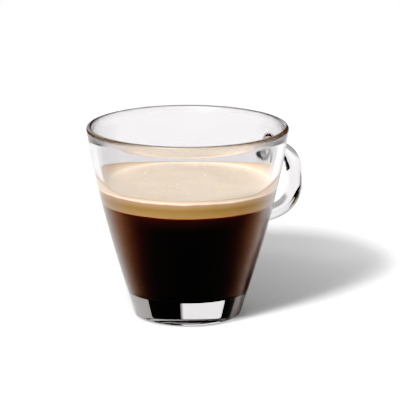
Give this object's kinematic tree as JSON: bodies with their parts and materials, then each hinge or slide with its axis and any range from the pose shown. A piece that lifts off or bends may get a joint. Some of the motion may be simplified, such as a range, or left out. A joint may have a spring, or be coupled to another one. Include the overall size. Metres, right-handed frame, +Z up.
{
  "type": "double espresso in a glass cup",
  "caption": "Clear glass espresso cup with flared sides, a thick base and an ear handle, filled over half way with black coffee under a pale crema.",
  "frame": {"origin": "on the cup's axis, at the flat underside of the foot", "axes": "+Z up along the cup's axis, +X towards the handle"},
  "size_m": [0.093, 0.08, 0.0768],
  "materials": {
    "glass": "clear pressed glass, polished",
    "coffee": null,
    "crema": null
  },
  "bodies": {
    "root": {"glass": "glass", "coffee": "coffee", "crema": "crema"}
  },
  "joints": []
}
